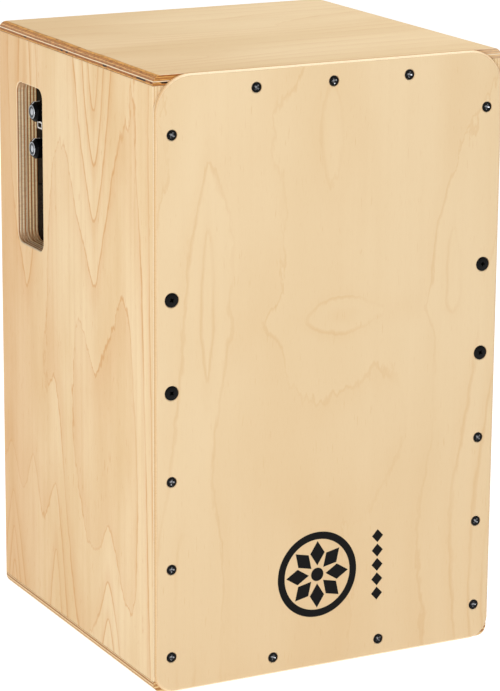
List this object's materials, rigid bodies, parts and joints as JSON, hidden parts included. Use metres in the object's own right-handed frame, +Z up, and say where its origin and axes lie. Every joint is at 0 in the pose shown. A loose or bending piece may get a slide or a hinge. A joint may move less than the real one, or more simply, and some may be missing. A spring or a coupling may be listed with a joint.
{
  "type": "cajon",
  "caption": "Plywood box drum with a thin screwed front plate, rear sound hole, snare wires, rubber feet and a recessed side panel with turning knobs and a sliding battery drawer.",
  "frame": {"origin": "centre of the footprint, on the floor under the rubber feet", "axes": "+X to the right of a listener who faces the front plate, +Y from the front plate to the rear, +Z up; the control recess is on the -X side"},
  "size_m": [0.3, 0.295, 0.4885],
  "materials": {
    "birch_plywood": "satin clear lacquer on birch veneer, plies visible at the edges",
    "birch_front_ply": "satin clear lacquer on plain birch veneer, vertical grain",
    "spruce_batten": "bare planed softwood",
    "black_screw_steel": "black oxide, slightly glossy",
    "black_rubber": "matt moulded rubber",
    "zinc_steel": "zinc plated",
    "black_moulding": "moulded black plastic, low sheen",
    "black_knob_plastic": "moulded black plastic, fluted grip",
    "spun_aluminium": "spun, bright",
    "nickel": "nickel plated",
    "green_board": "solder mask green",
    "battery_jacket": "printed metal jacket, no marks",
    "snare_steel": "drawn steel wire",
    "pickup_brass": "rolled brass",
    "lead_jacket": "black PVC jacket"
  },
  "bodies": {
    "box": {"top_panel": "birch_plywood", "bottom_panel": "birch_plywood", "left_side_panel": "birch_plywood", "right_side_panel": "birch_plywood", "rear_panel": "birch_plywood", "recess_frame": "birch_plywood", "front_plate": "birch_front_ply", "front_batten_left": "spruce_batten", "front_batten_right": "spruce_batten", "front_batten_top": "spruce_batten", "front_batten_bottom": "spruce_batten", "snare_bar": "spruce_batten", "front_screw_01": "black_screw_steel", "front_screw_02": "black_screw_steel", "front_screw_03": "black_screw_steel", "front_screw_04": "black_screw_steel", "front_screw_05": "black_screw_steel", "front_screw_06": "black_screw_steel", "front_screw_07": "black_screw_steel", "front_screw_08": "black_screw_steel", "front_screw_09": "black_screw_steel", "front_screw_10": "black_screw_steel", "front_screw_11": "black_screw_steel", "front_screw_12": "black_screw_steel", "front_screw_13": "black_screw_steel", "front_screw_14": "black_screw_steel", "front_screw_15": "black_screw_steel", "front_screw_16": "black_screw_steel", "front_screw_17": "black_screw_steel", "foot_1": "black_rubber", "foot_2": "black_rubber", "foot_3": "black_rubber", "foot_4": "black_rubber", "foot_screw_1": "zinc_steel", "foot_screw_2": "zinc_steel", "foot_screw_3": "zinc_steel", "foot_screw_4": "zinc_steel", "panel_screw_1": "zinc_steel", "panel_screw_2": "zinc_steel", "panel_screw_3": "zinc_steel", "panel_screw_4": "zinc_steel", "volume_pot": "zinc_steel", "tone_pot": "zinc_steel", "preamp_panel": "black_moulding", "output_jack": "black_moulding", "jack_nut": "nickel", "circuit_board": "green_board", "snare_wires_left": "snare_steel", "snare_wires_right": "snare_steel", "pickup_disc": "pickup_brass", "pickup_lead": "lead_jacket"},
    "volume_control": {"volume_knob": "black_knob_plastic", "volume_knob_cap": "spun_aluminium", "volume_shaft": "nickel"},
    "tone_control": {"tone_knob": "black_knob_plastic", "tone_knob_cap": "spun_aluminium", "tone_shaft": "nickel"},
    "battery_tray": {"battery_drawer": "black_moulding", "battery": "battery_jacket"}
  },
  "joints": [
    {"name": "volume_knob_turn", "type": "hinge", "parent": "box", "child": "volume_control", "pos_m": [-0.14, 0.0845, 0.423], "axis": [1, 0, 0], "range_deg": [-150, 150]},
    {"name": "tone_knob_turn", "type": "hinge", "parent": "box", "child": "tone_control", "pos_m": [-0.14, 0.0845, 0.393], "axis": [1, 0, 0], "range_deg": [-150, 150]},
    {"name": "battery_drawer_slide", "type": "slide", "parent": "box", "child": "battery_tray", "axis": [-1, 0, 0], "range_m": [0, 0.046]}
  ]
}
